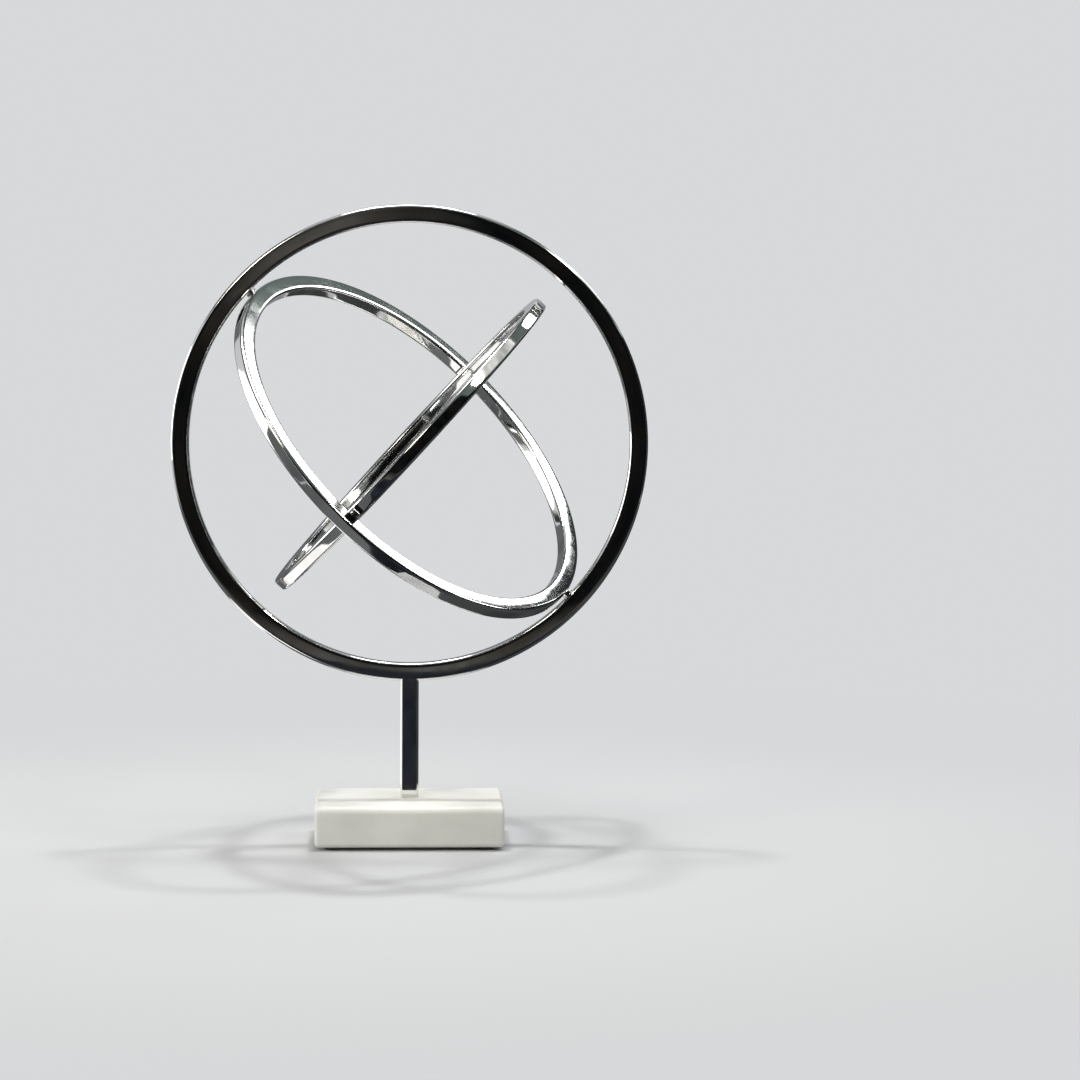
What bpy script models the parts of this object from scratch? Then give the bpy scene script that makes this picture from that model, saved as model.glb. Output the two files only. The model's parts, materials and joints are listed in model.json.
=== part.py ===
"""Three-ring armillary sphere on a post and a stone base.

Three nested bar rings turn inside one another like a gimbal. The outer ring is
fixed on a square post, the middle ring turns in the outer ring about one
diameter, and the inner ring turns in the middle ring about the diameter at
right angles to that. One bolt from below holds the post on the stone base.
Metres, +Z up, origin on the resting surface below the post.
"""
import math

import bmesh
import bpy
from mathutils import Matrix, Vector

# ---- driving dimensions (metres, degrees) ----

# rings: one square-edged bar, bent to three sizes
OUTER_RING_RADIUS = 0.190
BAR_HEIGHT = 0.0145          # across the bar, along the ring's radius
BAR_WIDTH = 0.011            # along the ring's own axis
BAR_EDGE_RADIUS = 0.0016
RING_GAP = 0.0035            # between one ring and the next
RING_STEPS = 96

# how the rings stand at rest
PIVOT_SLOPE = 43.5           # outer pivot line above the horizontal
MIDDLE_TILT = 64.5           # middle ring out of the outer ring's plane
INNER_TURN = 89.0            # inner ring out of the middle ring's plane

# pivots
PIN_RADIUS = 0.0025
PIN_HOLE_DEPTH = 0.009
SPACER_RADIUS = 0.0045

# post and the stud that joins it to the outer ring
POST_WIDTH = 0.015
POST_HEIGHT = 0.0935
POST_EDGE = 0.0012
STUD_RADIUS = 0.003
STUD_IN_RING = 0.008
STUD_IN_POST = 0.014

# stone base
BASE_LENGTH = 0.150
BASE_DEPTH = 0.100
BASE_HEIGHT = 0.033
BASE_TOP_EASE = 0.007
BASE_BOTTOM_EASE = 0.004
BASE_END_EASE = 0.0035
COUNTERBORE_RADIUS = 0.012
COUNTERBORE_DEPTH = 0.012

# felt pads under the base
PAD_RADIUS = 0.008
PAD_THICKNESS = 0.002
PAD_INSET_X = 0.015
PAD_INSET_Y = 0.014

# bolt and washers under the base
BOLT_RADIUS = 0.003
BOLT_LENGTH = 0.045
BOLT_HEAD_FLATS = 0.010
BOLT_HEAD_HEIGHT = 0.004
WASHER_RADIUS = 0.010
WASHER_THICKNESS = 0.0015
LOCK_WASHER_RADIUS = 0.0055
LOCK_WASHER_THICKNESS = 0.0016
LOCK_WASHER_SPLIT = 0.0012
LOCK_WASHER_SLANT = 25.0     # of the split, from upright

# clearances
SEAT_GAP = 0.0003            # between two pieces that rest on each other
PIN_CLEARANCE = 0.0002       # round a pin or a thread, on the radius
BOLT_CLEARANCE = 0.001       # round the bolt in the stone, on the radius
WASHER_CLEARANCE = 0.0004    # round the bolt in a washer, on the radius

# facets
ROUND_STEPS = 32
BAR_EDGE_STEPS = 2
TOP_EASE_STEPS = 6
END_EASE_STEPS = 4
SMOOTH_ANGLE = 50.0          # faces that meet at less than this shade as one
CUT_OVERRUN = 0.002          # how far a cutter passes the face it cuts through

# ---- sizes that follow ----

MIDDLE_RING_RADIUS = OUTER_RING_RADIUS - BAR_HEIGHT - RING_GAP
INNER_RING_RADIUS = MIDDLE_RING_RADIUS - BAR_HEIGHT - RING_GAP
SPACER_SAG = SPACER_RADIUS ** 2 / (2.0 * INNER_RING_RADIUS)
SPACER_THICKNESS = RING_GAP - 2.0 * SEAT_GAP - SPACER_SAG
BASE_BOTTOM_Z = PAD_THICKNESS + SEAT_GAP
BASE_TOP_Z = BASE_BOTTOM_Z + BASE_HEIGHT
POST_BOTTOM_Z = BASE_TOP_Z + SEAT_GAP
POST_TOP_Z = POST_BOTTOM_Z + POST_HEIGHT
RING_BOTTOM_Z = POST_TOP_Z + SEAT_GAP
RING_CENTRE_Z = RING_BOTTOM_Z + OUTER_RING_RADIUS
WASHER_TOP_Z = BASE_BOTTOM_Z + COUNTERBORE_DEPTH - SEAT_GAP
LOCK_WASHER_TOP_Z = WASHER_TOP_Z - WASHER_THICKNESS - SEAT_GAP
BOLT_SEAT_Z = LOCK_WASHER_TOP_Z - LOCK_WASHER_THICKNESS - SEAT_GAP
BOLT_TIP_Z = BOLT_SEAT_Z + BOLT_LENGTH


def clear_scene():
    for item in list(bpy.data.objects):
        bpy.data.objects.remove(item, do_unlink=True)


# ---- materials ----

def material(name, colour, roughness, metallic):
    made = bpy.data.materials.new(name)
    made.use_nodes = True
    shader = made.node_tree.nodes["Principled BSDF"]
    shader.inputs["Base Color"].default_value = (*colour, 1.0)
    shader.inputs["Roughness"].default_value = roughness
    shader.inputs["Metallic"].default_value = metallic
    return made


def polished_chrome(name):
    return material(name, (0.80, 0.80, 0.79), 0.05, 1.0)


def white_marble(name):
    return material(name, (0.86, 0.85, 0.82), 0.30, 0.0)


def zinc_steel(name):
    return material(name, (0.62, 0.62, 0.63), 0.35, 1.0)


def grey_felt(name):
    return material(name, (0.20, 0.20, 0.20), 0.95, 0.0)


# ---- building blocks ----

def add_object(name, mesh_data, finish=None, place=None):
    """Link a mesh as a named object, in its finish and at its place."""
    mesh = bpy.data.meshes.new(name)
    mesh_data.to_mesh(mesh)
    mesh_data.free()
    made = bpy.data.objects.new(name, mesh)
    bpy.context.collection.objects.link(made)
    if finish:
        mesh.materials.append(finish(name + "_finish"))
    if place:
        made.matrix_world = place
    return made


def add_empty(name, place, parent=None):
    made = bpy.data.objects.new(name, None)
    made.empty_display_size = 0.02
    bpy.context.collection.objects.link(made)
    made.parent = parent
    made.matrix_local = place
    return made


def shade(made):
    made.data.shade_smooth()
    made.data.set_sharp_from_angle(angle=math.radians(SMOOTH_ANGLE))


def arc(centre, radius, start, end, steps):
    """Points along an arc in a plane, both ends included; angles in degrees."""
    points = []
    for step in range(steps + 1):
        angle = math.radians(start + (end - start) * step / steps)
        points.append(centre + radius * Vector((math.cos(angle), math.sin(angle))))
    return points


def rounded_rectangle(width, height, low_radius, high_radius, steps):
    """Outline about (0, 0), counter-clockwise, with its own radius low and high."""
    half_w = width / 2.0
    half_h = height / 2.0
    corners = (
        (half_w - low_radius, low_radius - half_h, low_radius, -90.0),
        (half_w - high_radius, half_h - high_radius, high_radius, 0.0),
        (high_radius - half_w, half_h - high_radius, high_radius, 90.0),
        (low_radius - half_w, low_radius - half_h, low_radius, 180.0),
    )
    outline = []
    for x, y, radius, start in corners:
        outline += arc(Vector((x, y)), radius, start, start + 90.0, steps)
    return outline


def rectangle(width, height):
    x = width / 2.0
    y = height / 2.0
    return [Vector((x, -y)), Vector((x, y)), Vector((-x, y)), Vector((-x, -y))]


def prism(outline, low, high):
    """Outline in the XY plane, raised from low to high."""
    shape = bmesh.new()
    floor = shape.faces.new([shape.verts.new((p.x, p.y, low)) for p in outline])
    raised = bmesh.ops.extrude_face_region(shape, geom=[floor])
    top = [v for v in raised["geom"] if isinstance(v, bmesh.types.BMVert)]
    bmesh.ops.translate(shape, verts=top, vec=(0.0, 0.0, high - low))
    bmesh.ops.recalc_face_normals(shape, faces=shape.faces)
    return shape


def circle(radius, steps=ROUND_STEPS):
    return arc(Vector((0.0, 0.0)), radius, 0.0, 360.0 * (steps - 1) / steps, steps - 1)


def turned_ring(outline, steps):
    """Spin a closed outline, drawn in (radius, height), about Z."""
    shape = bmesh.new()
    verts = [shape.verts.new((p.x, 0.0, p.y)) for p in outline]
    edges = [shape.edges.new((a, b)) for a, b in zip(verts, verts[1:] + verts[:1])]
    bmesh.ops.spin(
        shape,
        geom=verts + edges,
        cent=(0.0, 0.0, 0.0),
        axis=(0.0, 0.0, 1.0),
        angle=2.0 * math.pi,
        steps=steps,
        use_merge=True,
    )
    bmesh.ops.recalc_face_normals(shape, faces=shape.faces)
    return shape


def washer_ring(inner, outer, thickness):
    """Flat ring lying on z = 0."""
    outline = [
        Vector((inner, 0.0)),
        Vector((outer, 0.0)),
        Vector((outer, thickness)),
        Vector((inner, thickness)),
    ]
    return turned_ring(outline, ROUND_STEPS)


def combine(made, name, mesh_data, place, operation="DIFFERENCE"):
    """Cut a hole from a piece, or join a boss to it, with an unseen guide shape."""
    guide = add_object(name, mesh_data, place=place)
    guide.hide_render = True
    guide.display_type = "WIRE"
    step = made.modifiers.new(name, "BOOLEAN")
    step.object = guide
    step.operation = operation
    step.solver = "EXACT"


def along_x(turn_degrees=0.0):
    """Stands a Z-axis shape along +X, then turns it about Z."""
    return Matrix.Rotation(math.radians(turn_degrees), 4, "Z") @ Matrix.Rotation(math.pi / 2.0, 4, "Y")


# ---- frames the rings hang in ----

def ring_frames():
    """Empties at the common centre; X is the outer pivot line, Y the inner one."""
    upright = Matrix.Rotation(math.pi / 2.0, 4, "X")
    slope = Matrix.Rotation(math.radians(180.0 - PIVOT_SLOPE), 4, "Z")
    centre = Matrix.Translation((0.0, 0.0, RING_CENTRE_Z))
    outer = add_empty("outer_frame", centre @ upright @ slope)
    middle = add_empty("middle_frame", Matrix.Rotation(math.radians(MIDDLE_TILT), 4, "X"), outer)
    inner = add_empty("inner_frame", Matrix.Rotation(math.radians(-INNER_TURN), 4, "Y"), middle)
    bpy.context.view_layer.update()
    return outer, middle, inner


# ---- rings and pivots ----

def bar_ring(name, radius, frame):
    section = rounded_rectangle(BAR_HEIGHT, BAR_WIDTH, BAR_EDGE_RADIUS, BAR_EDGE_RADIUS, BAR_EDGE_STEPS)
    middle = Vector((radius - BAR_HEIGHT / 2.0, 0.0))
    ring = add_object(name, turned_ring([p + middle for p in section], RING_STEPS), polished_chrome)
    ring.parent = frame
    shade(ring)
    return ring


def pin_hole(ring, name, frame, turn, low, high):
    """Round blind hole across the bar, between two distances from the centre."""
    shape = prism(circle(PIN_RADIUS + PIN_CLEARANCE), low, high)
    combine(ring, name, shape, frame.matrix_world @ along_x(turn))


def pivot(label, frame, turn, outer_ring, inner_ring, gap_low):
    """Pin and spacer between two rings, with a blind hole in each ring.

    gap_low is the radius of the smaller ring, where the gap between them starts.
    """
    gap_high = gap_low + RING_GAP
    pin_hole(outer_ring, label + "_outer_hole", frame, turn, gap_high - CUT_OVERRUN, gap_high + PIN_HOLE_DEPTH)
    pin_hole(inner_ring, label + "_inner_hole", frame, turn, gap_low - PIN_HOLE_DEPTH, gap_low + CUT_OVERRUN)
    place = frame.matrix_world @ along_x(turn)

    reach = PIN_HOLE_DEPTH - SEAT_GAP
    pin = add_object(
        label + "_pin",
        prism(circle(PIN_RADIUS), gap_low - reach, gap_high + reach),
        polished_chrome,
        place,
    )
    shade(pin)

    spacer_bore = PIN_RADIUS + PIN_CLEARANCE
    spacer = add_object(
        label + "_spacer",
        washer_ring(spacer_bore, SPACER_RADIUS, SPACER_THICKNESS),
        polished_chrome,
        place @ Matrix.Translation((0.0, 0.0, gap_low + SEAT_GAP)),
    )
    shade(spacer)


def build_rings():
    outer_frame, middle_frame, inner_frame = ring_frames()
    outer = bar_ring("outer_ring", OUTER_RING_RADIUS, outer_frame)
    middle = bar_ring("middle_ring", MIDDLE_RING_RADIUS, middle_frame)
    inner = bar_ring("inner_ring", INNER_RING_RADIUS, inner_frame)
    bpy.context.view_layer.update()
    for side, turn in (("upper", 0.0), ("lower", 180.0)):
        pivot("outer_pivot_" + side, outer_frame, turn, outer, middle, MIDDLE_RING_RADIUS)
    for side, turn in (("near", 90.0), ("far", 270.0)):
        pivot("inner_pivot_" + side, middle_frame, turn, middle, inner, INNER_RING_RADIUS)
    return outer


# ---- post and stud ----

def build_post(outer_ring):
    outline = rounded_rectangle(POST_WIDTH, BAR_WIDTH, POST_EDGE, POST_EDGE, BAR_EDGE_STEPS)
    post = add_object("post", prism(outline, POST_BOTTOM_Z, POST_TOP_Z), polished_chrome)
    shade(post)

    thread = BOLT_RADIUS + PIN_CLEARANCE
    bolt_hole = prism(circle(thread), POST_BOTTOM_Z - CUT_OVERRUN, BOLT_TIP_Z + CUT_OVERRUN)
    combine(post, "post_bolt_hole", bolt_hole, Matrix.Identity(4))

    stud_low = POST_TOP_Z - STUD_IN_POST
    stud_high = RING_BOTTOM_Z + STUD_IN_RING
    stud_hole = circle(STUD_RADIUS + PIN_CLEARANCE)
    low_hole = prism(stud_hole, stud_low - SEAT_GAP, POST_TOP_Z + CUT_OVERRUN)
    combine(post, "post_stud_hole", low_hole, Matrix.Identity(4))
    high_hole = prism(stud_hole, RING_BOTTOM_Z - CUT_OVERRUN, stud_high + SEAT_GAP)
    combine(outer_ring, "ring_stud_hole", high_hole, Matrix.Identity(4))

    stud = add_object("ring_stud", prism(circle(STUD_RADIUS), stud_low, stud_high), zinc_steel)
    shade(stud)


# ---- stone base and its pads ----

def build_base():
    """Block drawn end-on, raised along its length, with both ends eased."""
    outline = rounded_rectangle(BASE_DEPTH, BASE_HEIGHT, BASE_BOTTOM_EASE, BASE_TOP_EASE, TOP_EASE_STEPS)
    block = prism(outline, -BASE_LENGTH / 2.0, BASE_LENGTH / 2.0)
    ends = [e for e in block.edges if abs(e.verts[0].co.z - e.verts[1].co.z) < BASE_END_EASE]
    bmesh.ops.bevel(
        block,
        geom=ends,
        offset=BASE_END_EASE,
        segments=END_EASE_STEPS,
        profile=0.5,
        affect="EDGES",
        clamp_overlap=True,
    )
    lying = Matrix.Rotation(math.pi / 2.0, 4, "Z") @ Matrix.Rotation(math.pi / 2.0, 4, "X")
    place = Matrix.Translation((0.0, 0.0, BASE_BOTTOM_Z + BASE_HEIGHT / 2.0)) @ lying
    base = add_object("marble_base", block, white_marble, place)
    shade(base)

    through = prism(circle(BOLT_RADIUS + BOLT_CLEARANCE), 0.0, BASE_TOP_Z + CUT_OVERRUN)
    combine(base, "base_bolt_hole", through, Matrix.Identity(4))
    recess = prism(circle(COUNTERBORE_RADIUS), 0.0, BASE_BOTTOM_Z + COUNTERBORE_DEPTH)
    combine(base, "base_counterbore", recess, Matrix.Identity(4))


def build_pads():
    x = BASE_LENGTH / 2.0 - PAD_INSET_X
    y = BASE_DEPTH / 2.0 - PAD_INSET_Y
    corners = (("front_left", -x, -y), ("front_right", x, -y), ("rear_left", -x, y), ("rear_right", x, y))
    for label, at_x, at_y in corners:
        place = Matrix.Translation((at_x, at_y, 0.0))
        pad = add_object("foot_pad_" + label, prism(circle(PAD_RADIUS), 0.0, PAD_THICKNESS), grey_felt, place)
        shade(pad)


# ---- bolt and washers ----

def build_bolt():
    """Hexagon head below the washers, with its shank up into the post."""
    head_radius = BOLT_HEAD_FLATS / math.sqrt(3.0)
    head = prism(circle(head_radius, 6), BOLT_SEAT_Z - BOLT_HEAD_HEIGHT, BOLT_SEAT_Z)
    bolt = add_object("base_bolt", head, zinc_steel)
    shank = prism(circle(BOLT_RADIUS), BOLT_SEAT_Z - BOLT_HEAD_HEIGHT / 2.0, BOLT_TIP_Z)
    combine(bolt, "base_bolt_shank", shank, Matrix.Identity(4), "UNION")
    shade(bolt)


def build_washers():
    bore = BOLT_RADIUS + WASHER_CLEARANCE
    flat = washer_ring(bore, WASHER_RADIUS, WASHER_THICKNESS)
    place = Matrix.Translation((0.0, 0.0, WASHER_TOP_Z - WASHER_THICKNESS))
    shade(add_object("flat_washer", flat, zinc_steel, place))

    split = washer_ring(bore, LOCK_WASHER_RADIUS, LOCK_WASHER_THICKNESS)
    low = LOCK_WASHER_TOP_Z - LOCK_WASHER_THICKNESS
    washer = add_object("lock_washer", split, zinc_steel, Matrix.Translation((0.0, 0.0, low)))
    shade(washer)
    slot = rectangle(2.0 * LOCK_WASHER_RADIUS, LOCK_WASHER_SPLIT)
    reach = LOCK_WASHER_THICKNESS + CUT_OVERRUN
    slant = Matrix.Rotation(math.radians(LOCK_WASHER_SLANT), 4, "X")
    place = Matrix.Translation((LOCK_WASHER_RADIUS, 0.0, low + LOCK_WASHER_THICKNESS / 2.0)) @ slant
    combine(washer, "lock_washer_split", prism(slot, -reach, reach), place)


def main():
    clear_scene()
    outer_ring = build_rings()
    build_post(outer_ring)
    build_base()
    build_pads()
    build_bolt()
    build_washers()


main()
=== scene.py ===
import json
import math

import bmesh
import bpy
import numpy as np
from mathutils import Matrix, Vector


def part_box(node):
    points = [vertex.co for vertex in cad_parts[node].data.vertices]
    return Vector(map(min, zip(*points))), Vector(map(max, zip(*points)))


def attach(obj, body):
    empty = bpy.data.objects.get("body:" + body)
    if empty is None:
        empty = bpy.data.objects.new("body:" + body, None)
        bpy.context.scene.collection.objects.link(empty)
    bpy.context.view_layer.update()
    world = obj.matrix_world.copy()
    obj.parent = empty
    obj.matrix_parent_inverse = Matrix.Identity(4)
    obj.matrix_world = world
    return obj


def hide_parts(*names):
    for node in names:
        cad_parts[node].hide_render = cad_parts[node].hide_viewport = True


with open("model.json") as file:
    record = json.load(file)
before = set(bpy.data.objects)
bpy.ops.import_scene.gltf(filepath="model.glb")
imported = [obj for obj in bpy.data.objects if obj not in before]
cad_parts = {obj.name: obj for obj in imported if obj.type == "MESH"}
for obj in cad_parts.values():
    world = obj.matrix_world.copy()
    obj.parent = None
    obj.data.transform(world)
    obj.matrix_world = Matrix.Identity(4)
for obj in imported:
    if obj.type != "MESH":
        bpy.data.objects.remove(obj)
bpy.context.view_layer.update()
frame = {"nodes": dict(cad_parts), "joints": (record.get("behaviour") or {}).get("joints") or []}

# ---- camera, in metres and degrees ----

FOCAL_LENGTH = 113.33        # millimetres, on a 36 mm square film
CAMERA_DISTANCE = 2.712
CAMERA_SIDE = 0.5            # to the left of straight on
CAMERA_RISE = 3.3            # above the rings' centre
CAMERA_PAN = 2.70
CAMERA_PITCH = 4.91
CAMERA_ROLL = 0.35

# ---- how the finer pieces differ from the plain frame ----

INSET = 0.0001               # smooth rings stay this far inside the facets
BAR_EDGE = 0.0023            # edge radius of the bent and drawn bar
BAR_CROWN = 0.00006          # how far a polished flat rises at its middle
FLAT_STEPS = 6               # across one flat of a bar
EDGE_STEPS = 8               # round one edge of a bar
RING_STEPS = 540
WAVE = 0.000035              # hand-polished unevenness along a bar
WAVES = ((5, 0.45), (9, 0.3), (14, 0.2), (23, 0.12))

# each ring, the body it rides on, and where its unevenness starts
RINGS = (
    ("outer_ring", "stand", 0.3),
    ("middle_ring", "middle_ring", 1.9),
    ("inner_ring", "inner_ring", 4.1),
)
POST_WAVE_START = 0.4
POST_STEPS = 60
POST_INTO_RING = 0.0004      # past the ring's rounded edge, as in a soldered joint

STONE_TOP_EASE = 0.0068
STONE_FOOT_EASE = 0.0038
STONE_END_EASE = 0.0034
STONE_END_STEPS = 8
BOLT_HOLE_RADIUS = 0.004
RECESS_RADIUS = 0.012
RECESS_DEPTH = 0.012
BORE_OVERRUN = 0.001

BOLT_HEAD_HEIGHT = 0.004
BOLT_SHANK_RADIUS = 0.00295
THREAD_PITCH = 0.001
THREAD_DEPTH = 0.0004
WASHER_BORE = 0.0034
WASHER_EDGE = 0.0002
LOCK_WASHER_SPLIT = 7.0      # degrees from the middle of the split to each end
LOCK_WASHER_TWIST = 0.0003   # one end stands this much higher than the other
PIN_CLEARANCE = 0.0001

# ---- surroundings ----

BACKGROUND = (0.68, 0.692, 0.705)
FLOOR_COLOUR = (0.572, 0.577, 0.586)
FLOOR_DROP = 0.0002          # keeps the floor clear of the pads
ROOM_COLOUR = (0.93, 0.96, 1.0, 1.0)
ROOM_STRENGTH = 0.17
LAMP_TARGET = (0.0, 0.0, 0.32)
LAMP_DISTANCE = 2.3
CARD_LIFT = 0.0015           # height of the cards that lie on the floor


# ---- materials ----

class Value:
    """One socket of a material; sums written with it add Math nodes."""

    def __init__(self, recipe, socket):
        self.recipe = recipe
        self.socket = socket

    def _math(self, operation, *terms):
        inputs = dict(enumerate(terms))
        return self.recipe.node("ShaderNodeMath", {"operation": operation}, inputs)

    def __add__(self, other):
        return self._math("ADD", self, other)

    __radd__ = __add__

    def __sub__(self, other):
        return self._math("SUBTRACT", self, other)

    def __rsub__(self, other):
        return self._math("SUBTRACT", other, self)

    def __mul__(self, other):
        return self._math("MULTIPLY", self, other)

    __rmul__ = __mul__

    def __abs__(self):
        return self._math("ABSOLUTE", self)

    def clipped(self):
        return self.recipe.node("ShaderNodeClamp", inputs={"Value": self})


class Recipe:
    """A node tree being written, for a material or for the surroundings."""

    def __init__(self, tree):
        self.tree = tree
        tree.nodes.clear()

    def node(self, kind, settings=None, inputs=None, output=0):
        made = self.tree.nodes.new(kind)
        for name, value in (settings or {}).items():
            if name == "stops":
                self._stops(made.color_ramp, value)
            else:
                setattr(made, name, value)
        for key, value in (inputs or {}).items():
            self._feed(made.inputs[key], value)
        return Value(self, made.outputs[output]) if len(made.outputs) else None

    def _feed(self, socket, value):
        if isinstance(value, Value):
            self.tree.links.new(value.socket, socket)
        else:
            socket.default_value = value

    def _stops(self, ramp, stops):
        while len(ramp.elements) < len(stops):
            ramp.elements.new(1.0)
        for element, (place, colour) in zip(ramp.elements, stops):
            element.position = place
            element.color = (*colour, 1.0)

    def place(self):
        return self.node("ShaderNodeTexCoord", output="Object")

    def noise(self, scale, detail=2.0, roughness=0.5, at=None, distortion=0.0):
        settings = {"Scale": scale, "Detail": detail, "Roughness": roughness, "Distortion": distortion}
        return self.node("ShaderNodeTexNoise", inputs={"Vector": at or self.place(), **settings})

    def spread(self, value, low, high, to_low=0.0, to_high=1.0):
        settings = {"From Min": low, "From Max": high, "To Min": to_low, "To Max": to_high}
        return self.node("ShaderNodeMapRange", inputs={"Value": value, **settings})

    def blend(self, share, first, second, how="MIX"):
        settings = {"data_type": "RGBA", "blend_type": how}
        return self.node("ShaderNodeMix", settings, {0: share, 6: rgba(first), 7: rgba(second)}, output=2)

    def bump(self, height, distance, strength=1.0):
        settings = {"Height": height, "Distance": distance, "Strength": strength}
        return self.node("ShaderNodeBump", inputs=settings)


def rgba(colour):
    return colour if isinstance(colour, Value) else (*colour, 1.0)


def surface(name, build, **fixed):
    """A material from a recipe; build returns what varies, by socket name."""
    made = bpy.data.materials.new(name)
    made.use_nodes = True
    recipe = Recipe(made.node_tree)
    shader = recipe.node("ShaderNodeBsdfPrincipled", inputs={**fixed, **build(recipe)})
    recipe.node("ShaderNodeOutputMaterial", inputs={"Surface": shader})
    return made


def polished_chrome():
    """Mirror-polished plate with faint smears, and slight waves left by the buff."""

    def build(r):
        cloud = r.noise(38.0, 3.0, 0.55)
        fine = r.noise(420.0, 2.0, 0.6)
        smear = r.spread(cloud, 0.42, 0.68)
        colour = r.blend(smear, (0.80, 0.79, 0.77), (0.74, 0.735, 0.72))
        rough = 0.035 + smear * 0.05 + fine * 0.02
        waves = r.noise(22.0, 1.0, 0.4) + r.noise(70.0, 1.0, 0.4) * 0.08
        return {"Base Color": colour, "Roughness": rough, "Normal": r.bump(waves, 0.00025)}

    return surface("polished_chrome_plate", build, Metallic=1.0)


def honed_marble():
    """White stone: faint creamy clouds, a few barely grey veins and sparkling grain."""

    def build(r):
        cloud = r.noise(16.0, 4.0, 0.55)
        patch = r.noise(34.0, 3.0, 0.5)
        vein = 1.0 - r.spread(abs(r.noise(6.5, 4.0, 0.55, distortion=0.5) - 0.5), 0.0, 0.05)
        grain = r.noise(900.0, 2.0, 0.6)
        soft = r.blend(r.spread(cloud, 0.38, 0.68), (0.90, 0.893, 0.855), (0.84, 0.828, 0.76))
        clouded = r.blend(r.spread(patch, 0.5, 0.72) * 0.35, soft, (0.80, 0.80, 0.785))
        veined = r.blend((vein * r.spread(patch, 0.4, 0.6) * 0.18).clipped(), clouded, (0.66, 0.66, 0.65))
        grained = r.blend(r.spread(grain, 0.55, 0.75) * 0.12, veined, (0.94, 0.935, 0.92))
        rough = 0.30 + cloud * 0.14 + grain * 0.06
        height = grain * 0.5 + r.noise(120.0, 3.0, 0.6)
        return {"Base Color": grained, "Roughness": rough, "Normal": r.bump(height, 0.00004)}

    return surface("honed_white_marble", build)


def zinc_plate():
    """Bright zinc on steel, with the mottled bloom of the plating bath."""

    def build(r):
        bloom = r.noise(240.0, 3.0, 0.6)
        scuff = r.noise(900.0, 2.0, 0.5)
        colour = r.blend(r.spread(bloom, 0.35, 0.7), (0.60, 0.61, 0.63), (0.46, 0.465, 0.47))
        return {
            "Base Color": colour,
            "Roughness": 0.26 + bloom * 0.16,
            "Normal": r.bump(scuff, 0.00002),
        }

    return surface("zinc_plated_steel", build, Metallic=1.0)


def pressed_felt():
    """Grey wool felt: matted fibres, paler where they stand up."""

    def build(r):
        fibre = r.noise(1500.0, 4.0, 0.7, distortion=2.0)
        mat = r.noise(260.0, 3.0, 0.6)
        colour = r.blend(r.spread(fibre, 0.35, 0.7), (0.07, 0.07, 0.072), (0.17, 0.17, 0.172))
        return {
            "Base Color": colour,
            "Roughness": 0.88 + mat * 0.1,
            "Normal": r.bump(fibre + mat, 0.0003),
        }

    return surface("pressed_grey_felt", build)


# ---- shapes ----

def corner(centre, radius, start, steps):
    """Points of a quarter circle, from a starting angle in degrees."""
    points = []
    for step in range(steps + 1):
        angle = math.radians(start + 90.0 * step / steps)
        points.append(centre + radius * Vector((math.cos(angle), math.sin(angle))))
    return points


def crowned_bar(height, width, edge, crown):
    """Section of a square bar: four slightly domed flats between rounded edges."""
    half_h = height / 2.0
    half_w = width / 2.0
    corners = ((1, -1, -90.0), (1, 1, 0.0), (-1, 1, 90.0), (-1, -1, 180.0))
    outline = []
    for sx, sy, start in corners:
        centre = Vector((sx * (half_h - edge), sy * (half_w - edge)))
        outline += corner(centre, edge, start, EDGE_STEPS)
    points = []
    for index, here in enumerate(outline):
        there = outline[(index + 1) % len(outline)]
        points.append(here)
        if (there - here).length > edge:
            points += [here.lerp(there, step / FLAT_STEPS) for step in range(1, FLAT_STEPS)]
    return [domed(p, half_h, half_w, crown) for p in points]


def domed(point, half_h, half_w, crown):
    """Draws a point in, by less near the middle of its flat."""
    along = min(abs(point.x) / half_h, 1.0), min(abs(point.y) / half_w, 1.0)
    drop = crown * min(along) ** 2
    shrink = Vector((1.0 - drop / half_h, 1.0 - drop / half_w))
    return Vector((point.x * shrink.x, point.y * shrink.y))


def finish_mesh(name, shape, material, sharp=None):
    bmesh.ops.recalc_face_normals(shape, faces=shape.faces)
    mesh = bpy.data.meshes.new(name)
    shape.to_mesh(mesh)
    shape.free()
    mesh.shade_smooth()
    if sharp:
        mesh.set_sharp_from_angle(angle=math.radians(sharp))
    mesh.materials.append(material)
    made = bpy.data.objects.new(name, mesh)
    bpy.context.scene.collection.objects.link(made)
    return made


def skin(shape, loops, closed):
    """Joins equal loops of vertices, one after the next."""
    pairs = list(zip(loops, loops[1:] + loops[:1])) if closed else list(zip(loops, loops[1:]))
    for first, second in pairs:
        for i in range(len(first)):
            j = (i + 1) % len(first)
            shape.faces.new((first[i], first[j], second[j], second[i]))


def wave(angle, start):
    """Slow unevenness round a ring; it closes on itself."""
    total = 0.0
    for count, share in WAVES:
        total += share * math.sin(count * angle + start * count)
    return WAVE * total


def node_points(name):
    node = frame["nodes"][name]
    return np.array([v.co[:] for v in node.data.vertices])


def ring_sizes(name):
    """Centre, plane, outer radius, bar height and bar width of a ring in the frame."""
    points = node_points(name)
    centre = np.array(frame["joints"][0]["pos_m"])
    out = points - centre
    axis = np.linalg.svd(out, full_matrices=False)[2][2]
    along = out @ axis
    radius = np.linalg.norm(out - np.outer(along, axis), axis=1)
    inner = radius[radius > radius.max() * 0.9]
    return Vector(centre), Vector(axis), radius.max(), radius.max() - inner.min(), along.max() - along.min()


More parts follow.
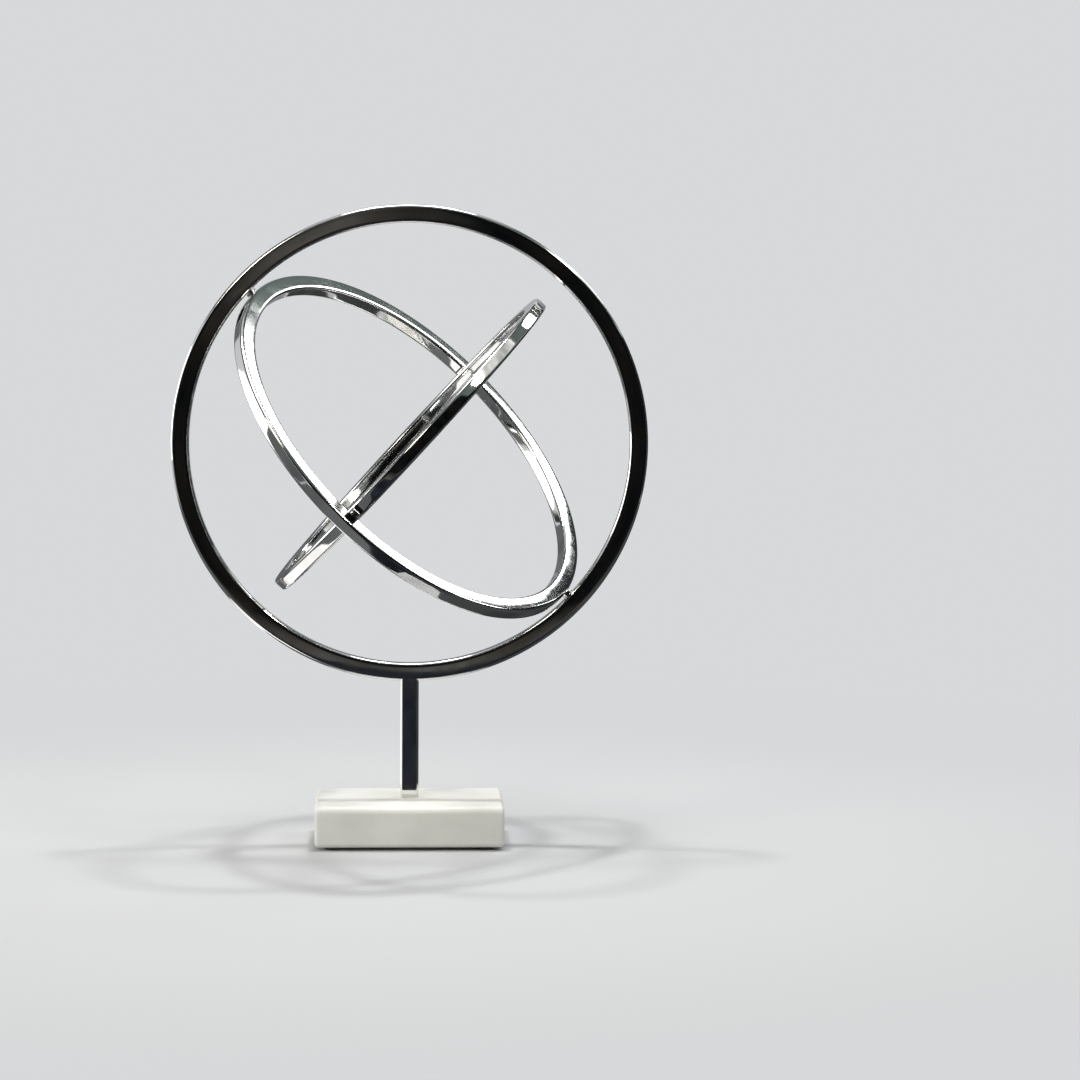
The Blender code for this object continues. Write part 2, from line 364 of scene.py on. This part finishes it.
def bent_ring(name, body, material, start):
    """One bar bent to a ring and polished, in place of the plain one."""
    centre, axis, radius, height, width = ring_sizes(name)
    across = axis.orthogonal().normalized()
    up = axis.cross(across)
    section = crowned_bar(height - INSET, width - INSET, BAR_EDGE, BAR_CROWN)
    middle = radius - INSET - (height - INSET) / 2.0
    shape = bmesh.new()
    loops = []
    for step in range(RING_STEPS):
        angle = 2.0 * math.pi * step / RING_STEPS
        outward = across * math.cos(angle) + up * math.sin(angle)
        thin = 1.0 - abs(wave(angle, start)) / height
        sway = wave(angle, start + 1.7) * 0.5
        loops.append([
            shape.verts.new(centre + outward * (middle + p.x * thin) + axis * (p.y * thin + sway * 0.5))
            for p in section
        ])
    skin(shape, loops, closed=True)
    made = finish_mesh(name + "_polished", shape, material)
    return place_piece(made, body, "polished_metal", name)


def place_piece(made, body, slot, *nodes):
    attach(made, body)
    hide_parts(*nodes)
    return made


def square_post(body, material):
    """Drawn square bar; its top runs a little into the ring, as a soldered joint does."""
    low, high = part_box("post")
    width = high.x - low.x - INSET
    depth = high.y - low.y - 1.6 * INSET
    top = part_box("outer_ring")[0].z + BAR_EDGE + POST_INTO_RING
    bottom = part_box("marble_base")[1].z + 0.5 * INSET
    section = crowned_bar(width, depth, BAR_EDGE * 0.9, BAR_CROWN)
    shape = bmesh.new()
    loops = []
    for step in range(POST_STEPS + 1):
        share = step / POST_STEPS
        z = bottom + (top - bottom) * share
        thin = 1.0 - abs(wave(share * 2.2, POST_WAVE_START)) / depth
        loops.append([shape.verts.new((p.x * thin, p.y * thin, z)) for p in section])
    skin(shape, loops, closed=False)
    shape.faces.new(list(reversed(loops[0])))
    shape.faces.new(loops[-1])
    made = finish_mesh("square_post", shape, material, sharp=40.0)
    return place_piece(made, body, "polished_metal", "post")


# ---- turned and pressed pieces ----

def node_line(name, longest):
    """Middle, axis, length and outer radius of a round node in the frame."""
    points = node_points(name)
    middle = (points.min(axis=0) + points.max(axis=0)) / 2.0
    axes = np.linalg.svd(points - points.mean(axis=0), full_matrices=False)[2]
    axis = axes[0 if longest else 2]
    along = (points - middle) @ axis
    radius = np.linalg.norm(points - middle - np.outer(along, axis), axis=1).max()
    middle = middle + axis * (along.min() + along.max()) / 2.0
    return Vector(middle), Vector(axis), along.max() - along.min(), radius


def standing(middle, axis):
    return Matrix.Translation(middle) @ axis.to_track_quat("Z", "Y").to_matrix().to_4x4()


def turned(name, outline, place, material, hollow=False, steps=64, sharp=35.0):
    """Outline in (radius, height), turned about Z; a solid one is closed at both ends."""
    shape = bmesh.new()
    loops = []
    for step in range(steps):
        angle = 2.0 * math.pi * step / steps
        c, s = math.cos(angle), math.sin(angle)
        loops.append([shape.verts.new(place @ Vector((r * c, r * s, z))) for r, z in outline])
    count = len(outline)
    for first, second in zip(loops, loops[1:] + loops[:1]):
        for i in range(count if hollow else count - 1):
            j = (i + 1) % count
            shape.faces.new((first[i], second[i], second[j], first[j]))
    if not hollow:
        shape.faces.new([loop[0] for loop in loops])
        shape.faces.new([loop[-1] for loop in loops])
    return finish_mesh(name, shape, material, sharp)


def eased_rod(radius, length, ease):
    half = length / 2.0
    return [(radius - ease, -half), (radius, ease - half), (radius, half - ease), (radius - ease, half)]


def eased_ring(bore, radius, thickness, ease):
    half = thickness / 2.0
    return [
        (bore, ease - half), (bore + ease, -half), (radius - ease, -half), (radius, ease - half),
        (radius, half - ease), (radius - ease, half), (bore + ease, half), (bore, half - ease),
    ]


def threaded(radius, low, high):
    """Outline of a screw thread, from one height to another."""
    root = radius - THREAD_DEPTH
    count = int((high - low) / THREAD_PITCH)
    points = [(root, low)]
    for turn in range(count):
        points.append((radius, low + THREAD_PITCH * (turn + 0.5)))
        points.append((root, low + THREAD_PITCH * (turn + 1.0)))
    points.append((root, high))
    return points


def make_pin(name, body, material):
    middle, axis, length, radius = node_line(name, longest=True)
    pin = turned(name + "_turned", eased_rod(radius, length, 0.0004), standing(middle, axis), material)
    place_piece(pin, body, "polished_metal", name)


def make_spacer(name, body, material):
    middle, axis, length, radius = node_line(name, longest=False)
    hole = node_line(name.replace("spacer", "pin"), longest=True)[3] + PIN_CLEARANCE
    outline = eased_ring(hole, radius - 0.00002, length, 0.0005)
    spacer = turned(name + "_turned", outline, standing(middle, axis), material, hollow=True)
    place_piece(spacer, body, "polished_metal", name)


def make_stud(body, material):
    low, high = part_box("ring_stud")
    outline = threaded((high.x - low.x) / 2.0, low.z + INSET, high.z - INSET)
    stud = turned("ring_stud_threaded", outline, Matrix(), material, sharp=20.0)
    place_piece(stud, body, "steel", "ring_stud")


def make_bolt(body, material):
    """Hexagon head, rounded off at its face, on a threaded shank."""
    low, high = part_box("base_bolt")
    flats = (high.y - low.y) / 2.0
    head_top = low.z + BOLT_HEAD_HEIGHT
    levels = ((0.0, 0.90), (0.0006, 1.10), (0.0012, 1.2), (BOLT_HEAD_HEIGHT, 1.2))
    shape = bmesh.new()
    steps = 96
    loops = []
    for rise, reach in levels:
        loop = []
        for step in range(steps):
            angle = 2.0 * math.pi * step / steps
            radius = min(flats / math.cos(angle_to_flat(angle)), flats * reach)
            loop.append(shape.verts.new((radius * math.cos(angle), radius * math.sin(angle), low.z + rise)))
        loops.append(loop)
    skin(shape, loops, closed=False)
    shape.faces.new(list(reversed(loops[0])))
    shape.faces.new(loops[-1])
    head = finish_mesh("bolt_head", shape, material, sharp=20.0)
    thread = threaded(BOLT_SHANK_RADIUS, head_top - 2.0 * INSET, high.z - INSET)
    shank = turned("bolt_shank", thread, Matrix(), material, sharp=20.0)
    shank.parent = head
    place_piece(head, body, "steel", "base_bolt")


def angle_to_flat(angle):
    """How far a direction lies from the middle of the nearest flat of the head."""
    return (angle % (math.pi / 3.0)) - math.pi / 6.0


def make_flat_washer(body, material):
    low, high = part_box("flat_washer")
    thickness = high.z - low.z
    place = Matrix.Translation((0.0, 0.0, (low.z + high.z) / 2.0))
    outline = eased_ring(WASHER_BORE, (high.x - low.x) / 2.0 - 0.00002, thickness, WASHER_EDGE)
    washer = turned("flat_washer_pressed", outline, place, material, hollow=True)
    place_piece(washer, body, "steel", "flat_washer")


def make_lock_washer(body, material):
    """Spring washer, split at one side and slightly twisted."""
    low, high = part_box("lock_washer")
    radius = (high.x - low.x) / 2.0 - 0.00005
    section = eased_ring(WASHER_BORE, radius, high.z - low.z - LOCK_WASHER_TWIST, WASHER_EDGE)
    reach = math.radians(360.0 - 2.0 * LOCK_WASHER_SPLIT)
    shape = bmesh.new()
    steps = 72
    loops = []
    for step in range(steps + 1):
        share = step / steps
        angle = math.radians(LOCK_WASHER_SPLIT) + share * reach
        rise = (low.z + high.z) / 2.0 + LOCK_WASHER_TWIST * (share - 0.5)
        c, s = math.cos(angle), math.sin(angle)
        loops.append([shape.verts.new((r * c, r * s, z + rise)) for r, z in section])
    skin(shape, loops, closed=False)
    shape.faces.new(loops[0])
    shape.faces.new(list(reversed(loops[-1])))
    split = finish_mesh("lock_washer_split", shape, material, sharp=35.0)
    place_piece(split, body, "steel", "lock_washer")


def make_pad(name, body, material):
    """Disc of felt, soft at its edge."""
    low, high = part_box(name)
    middle = (low + high) / 2.0
    radius = (high.x - low.x) / 2.0
    half = (high.z - low.z) / 2.0
    edge = [(radius - 0.0007, -half), (radius - 0.0002, 0.0004 - half), (radius, -0.0001)]
    edge += [(radius - 0.0001, half - 0.0004), (radius - 0.0006, half)]
    inner = [(radius * 0.55, -half)] + edge + [(radius * 0.55, half)]
    pad = turned(name + "_felt", inner, Matrix.Translation(middle), material, sharp=60.0)
    place_piece(pad, body, "felt", name)


# ---- stone base ----

def eased_outline(depth, height, foot, top, steps=10):
    """The block seen from its end: rounded feet and wider rounding on top."""
    half_d, half_h = depth / 2.0, height / 2.0
    corners = (
        (half_d - foot, foot - half_h, foot, -90.0),
        (half_d - top, half_h - top, top, 0.0),
        (top - half_d, half_h - top, top, 90.0),
        (foot - half_d, foot - half_h, foot, 180.0),
    )
    points = []
    for x, y, radius, start in corners:
        points += corner(Vector((x, y)), radius, start, steps)
    return points


def stone_block(body, material):
    """Block eased along its edges, with the bolt's hole and its recess below."""
    low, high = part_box("marble_base")
    middle = (low + high) / 2.0
    length, depth, height = high.x - low.x, high.y - low.y, high.z - low.z
    ends = [math.radians(90.0 * step / STONE_END_STEPS) for step in range(STONE_END_STEPS + 1)]
    shape = bmesh.new()
    loops = []
    for side in (-1.0, 1.0):
        order = list(reversed(ends)) if side < 0.0 else ends
        for angle in order:
            inset = STONE_END_EASE * (1.0 - math.cos(angle))
            x = side * (length / 2.0 - STONE_END_EASE * (1.0 - math.sin(angle)))
            outline = eased_outline(
                depth - 2.0 * inset, height - 2.0 * inset, STONE_FOOT_EASE - inset, STONE_TOP_EASE - inset
            )
            loops.append([shape.verts.new((x + middle.x, p.x + middle.y, p.y + middle.z)) for p in outline])
    skin(shape, loops, closed=False)
    shape.faces.new(loops[0])
    shape.faces.new(list(reversed(loops[-1])))
    block = finish_mesh("stone_base", shape, material, sharp=40.0)
    bore(block, BOLT_HOLE_RADIUS, low.z - BORE_OVERRUN, high.z + BORE_OVERRUN)
    bore(block, RECESS_RADIUS, low.z - BORE_OVERRUN, low.z + RECESS_DEPTH)
    block.data.set_sharp_from_angle(angle=math.radians(40.0))
    return place_piece(block, body, "marble", "marble_base")


def bore(block, radius, low, high):
    """Drills a round hole up the middle of a block."""
    outline = [(radius, low), (radius, high)]
    drill = turned("drill", outline, Matrix(), block.data.materials[0])
    step = block.modifiers.new("bore", "BOOLEAN")
    step.object = drill
    step.operation = "DIFFERENCE"
    step.solver = "EXACT"
    solid = block.evaluated_get(bpy.context.evaluated_depsgraph_get())
    drilled = bpy.data.meshes.new_from_object(solid)
    block.modifiers.clear()
    block.data = drilled
    bpy.data.objects.remove(drill)


# ---- floor, lamps and cards ----

def floor_material():
    """Pale floor that keeps the shadow near the object and fades into the background."""
    made = bpy.data.materials.new("pale_floor")
    made.use_nodes = True
    r = Recipe(made.node_tree)
    distance = r.node("ShaderNodeVectorMath", {"operation": "LENGTH"}, {0: r.place()}, output="Value")
    far = r.node(
        "ShaderNodeMapRange",
        {"interpolation_type": "SMOOTHSTEP"},
        {"Value": distance, "From Min": 0.30, "From Max": 1.05},
    )
    matt = r.node("ShaderNodeBsdfDiffuse", inputs={"Color": (*FLOOR_COLOUR, 1.0)})
    glow = r.node("ShaderNodeEmission", inputs={"Color": (*BACKGROUND, 1.0), "Strength": 1.0})
    seen = seen_directly(r)
    both = r.node("ShaderNodeMixShader", inputs={0: far * seen, 1: matt, 2: glow})
    r.node("ShaderNodeOutputMaterial", inputs={"Surface": both})
    return made


def seen_directly(r):
    """1 for camera, mirror and glass rays, 0 for the rest."""
    camera = r.node("ShaderNodeLightPath", output="Is Camera Ray")
    mirror = r.node("ShaderNodeLightPath", output="Is Glossy Ray")
    glass = r.node("ShaderNodeLightPath", output="Is Transmission Ray")
    return (camera + mirror + glass).clipped()


def lay_floor():
    shape = bmesh.new()
    bmesh.ops.create_grid(shape, x_segments=24, y_segments=24, size=14.0)
    made = finish_mesh("studio_floor", shape, floor_material())
    made.location.z = -FLOOR_DROP


def light_room():
    """Dim even light from all round, behind a plain pale background."""
    world = bpy.data.worlds.new("soft_room")
    bpy.context.scene.world = world
    world.use_nodes = True
    r = Recipe(world.node_tree)
    room = r.node("ShaderNodeBackground", inputs={"Color": ROOM_COLOUR, "Strength": ROOM_STRENGTH})
    pale = r.node("ShaderNodeBackground", inputs={"Color": (*BACKGROUND, 1.0), "Strength": 1.0})
    both = r.node("ShaderNodeMixShader", inputs={0: seen_directly(r), 1: room, 2: pale})
    r.node("ShaderNodeOutputWorld", inputs={"Surface": both})


def lamp(name, place, target, size, power, colour=(1.0, 1.0, 1.0)):
    """Flat softbox, in metres and watts, that the picture itself doesn't show."""
    light = bpy.data.lights.new(name, "AREA")
    light.shape = "RECTANGLE"
    light.size = size[0]
    light.size_y = size[1]
    light.energy = power
    light.color = colour
    made = bpy.data.objects.new(name, light)
    bpy.context.scene.collection.objects.link(made)
    made.location = place
    made.rotation_euler = (Vector(target) - Vector(place)).to_track_quat("-Z", "Y").to_euler()
    made.visible_camera = False


def toward(azimuth, elevation, radius, height=0.0):
    """A point round the rings; azimuth 0 is the front and grows to the right."""
    a, e = math.radians(azimuth), math.radians(elevation)
    x, y = radius * math.sin(a) * math.cos(e), -radius * math.cos(a) * math.cos(e)
    return Vector((x, y, height + radius * math.sin(e)))


def card_cloth(name, shade, scale=1.6, spread=1.4):
    """Sheet glowing at its own set level, a little uneven, like dull studio cloth: painted reflection for
    the metal.
    """
    made = bpy.data.materials.new(name)
    made.use_nodes = True
    r = Recipe(made.node_tree)
    # The uneven mottle paints varying reflections along the polished faces.
    mottle = r.spread(r.noise(scale, 2.0), 0.36, 0.64)
    colour = r.blend(mottle, tuple(c / spread for c in shade), tuple(c * spread for c in shade))
    cloth = r.node("ShaderNodeEmission", inputs={"Color": colour, "Strength": 1.0})
    r.node("ShaderNodeOutputMaterial", inputs={"Surface": cloth})
    return made


def front_cloth():
    """Warm black glowing card, paler at its upper left and along its foot: painted reflections that the
    metal mirrors.
    """
    made = bpy.data.materials.new("warm_black_cloth")
    made.use_nodes = True
    r = Recipe(made.node_tree)
    height = r.node("ShaderNodeSeparateXYZ", inputs={"Vector": r.place()}, output="Z")
    cloud = r.noise(11.0, 3.0, 0.6)
    # Painted reflection: a paler spot at the card's upper left and a paler band along its foot, which the
    # metal mirrors as lighter patches.
    painted_reflection_spot = (-0.10, -1.03, 0.49)
    away = r.node("ShaderNodeVectorMath", {"operation": "DISTANCE"}, {0: r.place(), 1: painted_reflection_spot}, "Value")
    upper_left_reflection = r.spread(away + cloud * 0.12, 0.10, 0.26, 1.0, 0.0)
    foot = r.spread(height + cloud * 0.06, 0.02, 0.11, 1.0, 0.0)
    painted_reflection_share = (upper_left_reflection + foot * 0.8).clipped()
    dark = r.blend(r.spread(cloud, 0.4, 0.62), (0.002, 0.003, 0.004), (0.010, 0.009, 0.008))
    pale = r.blend(r.spread(cloud, 0.35, 0.65), (0.16, 0.155, 0.14), (0.075, 0.068, 0.058))
    cloth = r.node("ShaderNodeEmission", inputs={"Color": r.blend(painted_reflection_share, dark, pale), "Strength": 1.0})
    r.node("ShaderNodeOutputMaterial", inputs={"Surface": cloth})
    return made


def hang_card(name, shape, cloth):
    """A card outside the picture, which only polished faces mirror."""
    made = finish_mesh(name, shape, cloth)
    made.visible_camera = False
    made.visible_diffuse = False
    made.visible_shadow = False


def curved_card(name, azimuths, elevations, radius, cloth):
    centre = frame["joints"][0]["pos_m"][2]
    wide, tall = 16, 8
    shape = bmesh.new()
    rows = []
    for row in range(tall + 1):
        elevation = elevations[0] + (elevations[1] - elevations[0]) * row / tall
        rows.append([
            shape.verts.new(toward(
                azimuths[0] + (azimuths[1] - azimuths[0]) * column / wide, elevation, radius, centre
            ))
            for column in range(wide + 1)
        ])
    for low, high in zip(rows, rows[1:]):
        for i in range(wide):
            shape.faces.new((low[i], low[i + 1], high[i + 1], high[i]))
    hang_card(name, shape, cloth)


def strip_card(name, azimuths, first, second, cloth):
    """Card round the post between two arcs, each given by its radius and height."""
    shape = bmesh.new()
    steps = 36
    edges = []
    for radius, height in (first, second):
        turns = [azimuths[0] + (azimuths[1] - azimuths[0]) * i / steps for i in range(steps + 1)]
        edges.append([shape.verts.new(toward(turn, 0.0, radius, height)) for turn in turns])
    for i in range(steps):
        shape.faces.new((edges[0][i], edges[0][i + 1], edges[1][i + 1], edges[1][i]))
    hang_card(name, shape, cloth)


def light_scene():
    def hung(azimuth, elevation):
        return toward(azimuth, elevation, LAMP_DISTANCE, LAMP_TARGET[2])

    warm_white = (1.0, 0.985, 0.9)
    cool_white = (0.97, 0.985, 1.0)
    lamp("key_softbox", (-1.5, -1.7, 1.9), LAMP_TARGET, (0.9, 0.9), 18.5, (1.0, 0.985, 0.83))
    lamp("left_softbox", hung(-97.0, 7.0), LAMP_TARGET, (1.6, 1.15), 20.0, (1.0, 0.99, 0.94))
    lamp("rim_softbox", hung(129.0, 35.0), LAMP_TARGET, (0.61, 0.61), 8.5, cool_white)
    lamp("right_softbox", hung(46.0, 38.0), LAMP_TARGET, (0.3, 0.3), 7.0, warm_white)
    lamp("overhead_softbox", (0.0, -0.2, 2.45), (0.0, -0.2, 0.0), (1.3, 1.1), 22.5, (0.98, 0.99, 1.0))
    for name, place in (("top_lamp_left", (-0.32, 0.36, 2.15)), ("top_lamp_right", (0.30, 0.30, 2.15))):
        lamp(name, place, (0.0, 0.0, 0.0), (0.16, 0.16), 11.0)


def set_cards():
    """Dark and grey cards round the table; the metal takes its dark faces from them."""
    warm = front_cloth()
    cool = card_cloth("cool_black_cloth", (0.032, 0.038, 0.041), 2.5, 1.6)
    grey_green = card_cloth("grey_green_cloth", (0.10, 0.125, 0.118))
    grey = card_cloth("grey_cloth", (0.12, 0.125, 0.13))
    table = card_cloth("floor_reflection_glow", (0.05, 0.053, 0.055), 4.0)
    dark_floor_reflection = card_cloth("dark_floor_reflection_glow", (0.016, 0.019, 0.024), 9.0, 1.6)
    mixed = card_cloth("mixed_cloth", (0.20, 0.205, 0.21), 3.5, 2.4)
    light = card_cloth("light_cloth", (0.72, 0.73, 0.71), 2.2, 1.5)
    white = card_cloth("white_reflection_glow", (1.3, 1.3, 1.28), 4.0, 1.1)
    curved_card("card_front", (-48.0, 62.0), (-16.5, 28.0), 1.15, warm)
    curved_card("card_right", (62.0, 152.0), (-15.0, 24.0), 1.2, cool)
    curved_card("card_left_low", (-76.0, -52.0), (-15.0, 8.0), 1.2, grey)
    curved_card("card_back_left", (-172.0, -132.0), (-14.0, 26.0), 1.25, grey)
    curved_card("card_back", (152.0, 188.0), (-14.0, 22.0), 1.25, mixed)
    curved_card("card_high_right", (-30.0, 178.0), (26.0, 62.0), 2.75, grey_green)
    curved_card("card_high_light", (46.0, 96.0), (35.0, 50.0), 2.6, light)
    curved_card("card_high_left", (-178.0, -34.0), (28.0, 60.0), 2.8, grey)
    # The floor cards lie on the pale floor but only the metal mirrors them: they paint a darker floor into
    # its reflections.
    strip_card("card_floor_front", (-22.0, 22.0), (0.24, CARD_LIFT), (1.14, CARD_LIFT), dark_floor_reflection)
    strip_card("card_floor_right", (22.0, 170.0), (0.11, CARD_LIFT), (1.14, CARD_LIFT), table)
    strip_card("card_floor_left", (-170.0, -22.0), (0.11, CARD_LIFT), (1.14, CARD_LIFT), grey)
    # A white strip glowing above white, low beside the stone: a painted bright reflection for the metal
    # near it.
    strip_card("card_edge_light", (-150.0, -30.0), (0.24, CARD_LIFT), (0.24, 0.105), white)


def set_camera():
    side, rise = math.radians(CAMERA_SIDE), math.radians(CAMERA_RISE)
    pan, pitch, roll = (math.radians(a) for a in (CAMERA_PAN, CAMERA_PITCH, CAMERA_ROLL))
    target = Vector(frame["joints"][0]["pos_m"])
    back = Vector((-math.sin(side) * math.cos(rise), -math.cos(side) * math.cos(rise), math.sin(rise)))
    forward = Vector((math.sin(pan) * math.cos(pitch), math.cos(pan) * math.cos(pitch), -math.sin(pitch)))
    level = forward.cross(Vector((0.0, 0.0, 1.0))).normalized()
    above = level.cross(forward)
    right = level * math.cos(roll) + above * math.sin(roll)
    up = above * math.cos(roll) - level * math.sin(roll)
    data = bpy.data.cameras.new("camera")
    data.sensor_width = 36.0
    data.lens = FOCAL_LENGTH
    made = bpy.data.objects.new("camera", data)
    turn = Matrix((right, up, -forward)).transposed().to_4x4()
    made.matrix_world = Matrix.Translation(target + back * CAMERA_DISTANCE) @ turn
    bpy.context.scene.collection.objects.link(made)
    bpy.context.scene.camera = made


def main():
    bpy.context.scene.view_settings.view_transform = "Standard"
    set_camera()
    lay_floor()
    light_room()
    light_scene()
    set_cards()

    chrome = polished_chrome()
    for name, body, start in RINGS:
        bent_ring(name, body, chrome, start)
    square_post("stand", chrome)

    zinc = zinc_plate()
    stone_block("stand", honed_marble())
    make_stud("stand", zinc)
    make_bolt("stand", zinc)
    make_flat_washer("stand", zinc)
    make_lock_washer("stand", zinc)
    felt = pressed_felt()
    for corner_name in ("front_left", "front_right", "rear_left", "rear_right"):
        make_pad("foot_pad_" + corner_name, "stand", felt)
    for pivot in ("outer_pivot_upper", "outer_pivot_lower", "inner_pivot_near", "inner_pivot_far"):
        body = "stand" if pivot.startswith("outer") else "middle_ring"
        make_pin(pivot + "_pin", body, chrome)
        make_spacer(pivot + "_spacer", body, chrome)


main()
